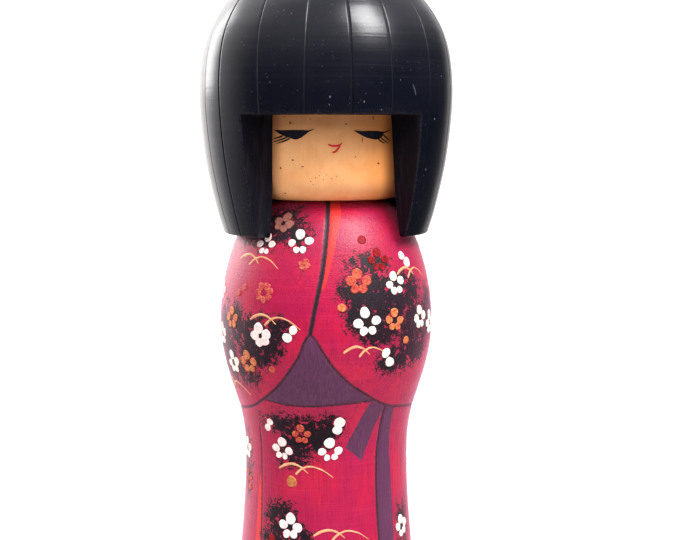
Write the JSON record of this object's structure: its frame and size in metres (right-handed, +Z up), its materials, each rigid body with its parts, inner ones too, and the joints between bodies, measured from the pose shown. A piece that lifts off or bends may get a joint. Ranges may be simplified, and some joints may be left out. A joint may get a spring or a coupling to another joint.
{
  "type": "kokeshi doll",
  "caption": "Turned wooden kokeshi doll with a hooded bob haircut, a bare-wood face block that turns on a neck peg, and a painted kimono-shaped body.",
  "frame": {"origin": "centre of the flat base the doll stands on", "axes": "+Z up the turning axis to the crown, the face looks along -Y, +X to the right of a viewer in front of the face"},
  "size_m": [0.095, 0.095, 0.2629],
  "materials": {
    "kimono_paint": "satin crimson paint, brushed on, over scratched lines",
    "peg_wood": "bare turned dowel",
    "face_wood": "clear satin varnish over bare honey-coloured wood",
    "hair_paint": "semi-gloss black paint, matte brown on the sawn faces"
  },
  "bodies": {
    "lower": {"body": "kimono_paint", "neck_peg": "peg_wood"},
    "upper": {"head": "face_wood", "hair_hood": "hair_paint"}
  },
  "joints": [
    {"name": "head_turn", "type": "hinge", "parent": "lower", "child": "upper", "pos_m": [0, 0, 0.1793], "axis": [0, 0, 1], "continuous": true}
  ]
}
